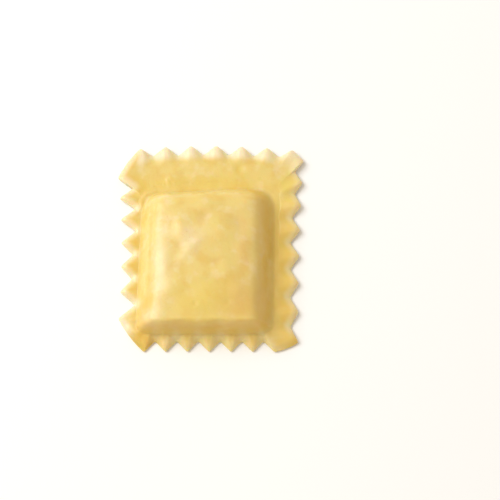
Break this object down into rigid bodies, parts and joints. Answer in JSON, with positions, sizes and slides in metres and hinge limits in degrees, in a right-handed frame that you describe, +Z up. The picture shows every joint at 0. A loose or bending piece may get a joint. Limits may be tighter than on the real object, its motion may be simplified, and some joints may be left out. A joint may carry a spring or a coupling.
{
  "type": "ravioli",
  "caption": "Filled pasta pillow in a flat rim with a zigzag cut edge, lying flat with its domed side up.",
  "frame": {"origin": "under the middle of the zigzag outline, on the surface that the raviolo lies on", "axes": "+Z up out of the domed side, +Y towards the wide end of the rim, +X to the right seen with +Y away"},
  "size_m": [0.047, 0.0544, 0.0092],
  "materials": {
    "egg_pasta": "satin egg pasta, pale at the cut edge"
  },
  "bodies": {
    "root": {"raviolo": "egg_pasta"}
  },
  "joints": []
}
